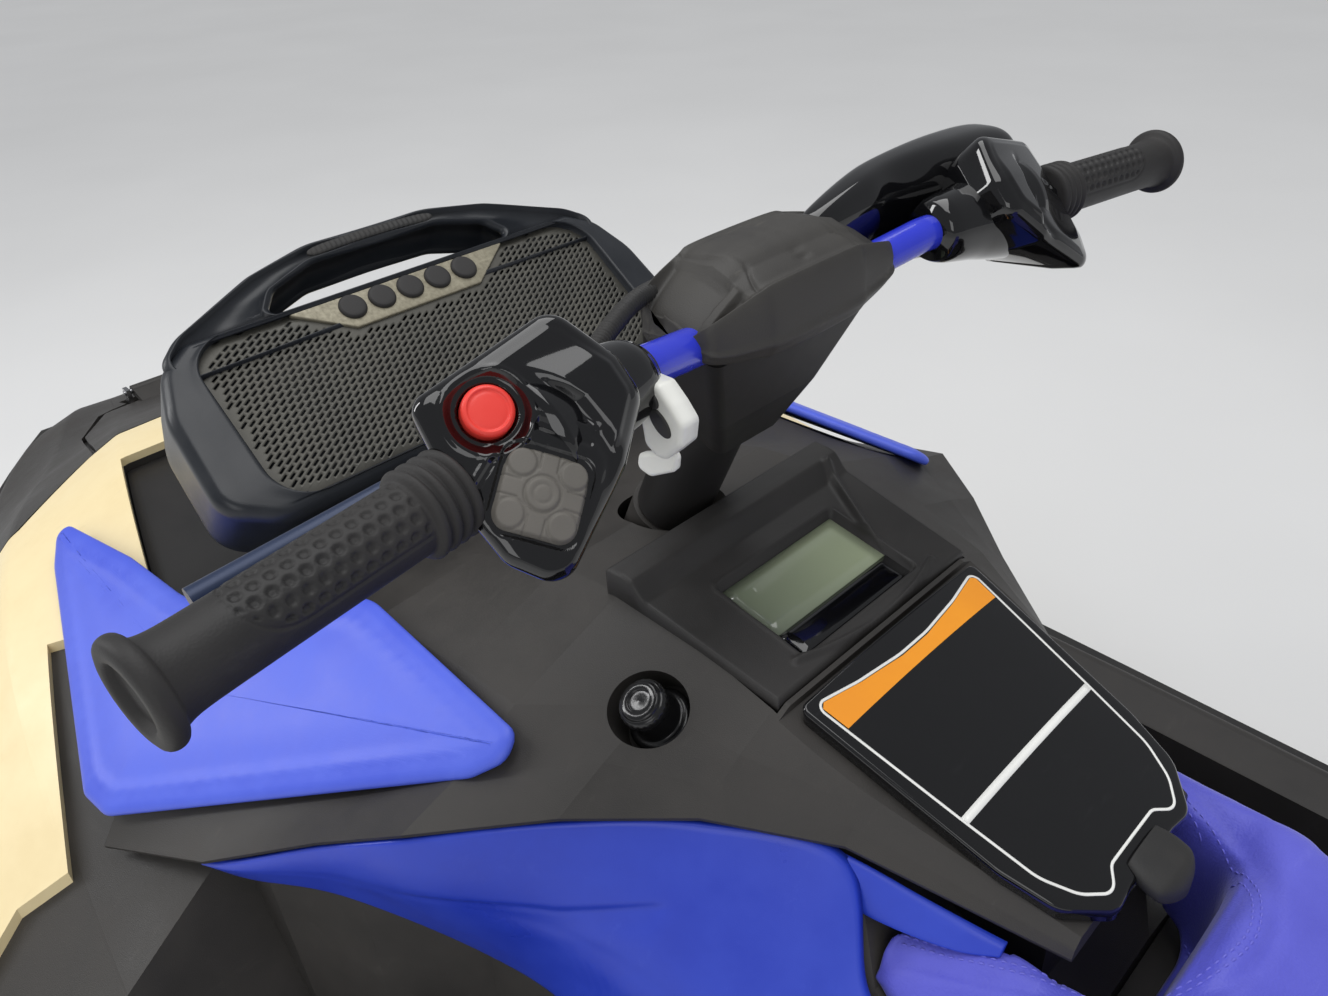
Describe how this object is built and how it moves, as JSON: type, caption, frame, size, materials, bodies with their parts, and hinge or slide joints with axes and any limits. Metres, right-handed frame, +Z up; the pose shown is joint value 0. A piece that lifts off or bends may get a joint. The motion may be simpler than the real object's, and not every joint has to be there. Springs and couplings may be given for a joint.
{
  "type": "personal watercraft",
  "caption": "Three-seat personal watercraft with a jet pump, steerable handlebar and nozzle, reverse bucket, opening lids, a stepped seat and a speaker on the hood.",
  "frame": {"origin": "on the waterline amidships, on the centre plane", "axes": "+X towards the bow, +Y to port, +Z up"},
  "size_m": [3.293, 1.2872, 1.1392],
  "materials": {
    "hull_gelcoat": "gel-coated moulding, sand topsides over a dark bottom",
    "black_plastic": "fine-grained matt black moulding",
    "black_rubber": "soft matt rubber",
    "sand_plastic": "satin sand-coloured moulding",
    "steel": "stainless steel",
    "grille_metal": "dark perforated metal",
    "display_glass": "grey-green display behind clear glass",
    "black_gloss": "gloss black moulding",
    "blue_plastic": "satin blue moulding",
    "blue_vinyl": "blue marine vinyl",
    "mat_foam": "ribbed foam mat",
    "engine_metal": "plain block for the closed engine",
    "aluminium": "cast and anodised aluminium",
    "blue_tube": "blue powder-coated tube",
    "grip_rubber": "moulded grip rubber",
    "navy_lever": "dark blue anodised lever",
    "red_button": "red moulded button",
    "keypad_grey": "grey rubber keypad",
    "silver_strip": "brushed silver-grey control strip",
    "pale_plastic": "off-white moulded clip"
  },
  "bodies": {
    "craft": {"hull": "hull_gelcoat", "deck": "black_plastic", "console_base": "black_plastic", "seat_base": "black_plastic", "storage_tub": "black_plastic", "glovebox_tub": "black_plastic", "bumper_rail": "black_rubber", "hood_fairing": "sand_plastic", "nose_cover": "black_plastic", "lid_hinge_pin": "steel", "speaker_base": "black_plastic", "speaker_body": "black_rubber", "speaker_grille": "grille_metal", "control_strip": "silver_strip", "console_cover": "black_plastic", "gauge_housing": "black_plastic", "gauge_glass": "display_glass", "key_post": "black_gloss", "wing_panel_left": "blue_plastic", "wing_panel_right": "blue_plastic", "side_panel_left": "blue_plastic", "side_panel_right": "blue_plastic", "seat_front": "blue_vinyl", "seat_rear": "blue_vinyl", "grab_handle": "black_rubber", "footwell_mat_left": "mat_foam", "footwell_mat_right": "mat_foam", "platform_mat": "mat_foam", "engine_block": "engine_metal", "pump_housing": "aluminium", "ride_plate": "black_plastic", "intake_grate": "aluminium", "sponson_left": "black_plastic", "sponson_right": "black_plastic", "bow_eye": "steel", "tow_eye": "steel", "steering_sleeve": "black_plastic"},
    "handlebar": {"handlebar_tube": "blue_tube", "steering_neck": "black_plastic", "centre_pad": "black_rubber", "pod_left": "black_gloss", "pod_right": "black_gloss", "grip_left": "grip_rubber", "grip_right": "grip_rubber", "brake_lever": "navy_lever", "throttle_lever": "navy_lever", "stop_button": "red_button", "keypad": "keypad_grey", "conduit": "black_rubber", "cable_clip": "pale_plastic"},
    "front_lid": {"front_lid": "black_plastic"},
    "glovebox_lid": {"glovebox_lid": "black_plastic"},
    "drive": {"drive_shaft": "steel", "impeller": "steel"},
    "nozzle": {"steering_nozzle": "aluminium"},
    "bucket": {"reverse_bucket": "aluminium"}
  },
  "joints": [
    {"name": "steering", "type": "hinge", "parent": "craft", "child": "handlebar", "pos_m": [0.332, 0, 0.7], "axis": [-0.4226, 0, 0.9063], "range_deg": [-22, 22]},
    {"name": "nozzle_steer", "type": "hinge", "parent": "craft", "child": "nozzle", "pos_m": [-1.5, 0, -0.14], "axis": [0, 0, 1], "range_deg": [-17.6, 17.6]},
    {"name": "bucket_swing", "type": "hinge", "parent": "craft", "child": "bucket", "pos_m": [-1.52, 0, -0.14], "axis": [0, -1, 0], "range_deg": [0, 75]},
    {"name": "drive_spin", "type": "hinge", "parent": "craft", "child": "drive", "pos_m": [-1.3, 0, -0.14], "axis": [1, 0, 0], "continuous": true},
    {"name": "front_lid_hinge", "type": "hinge", "parent": "craft", "child": "front_lid", "pos_m": [1.468, 0, 0.362], "axis": [0, 1, 0], "range_deg": [0, 60]},
    {"name": "glovebox_hinge", "type": "hinge", "parent": "craft", "child": "glovebox_lid", "pos_m": [0.184, 0, 0.597], "axis": [0, 1, 0], "range_deg": [0, 65]}
  ],
  "couplings": [
    {"joint": "nozzle_steer", "follows": "steering", "ratio": -0.8}
  ]
}
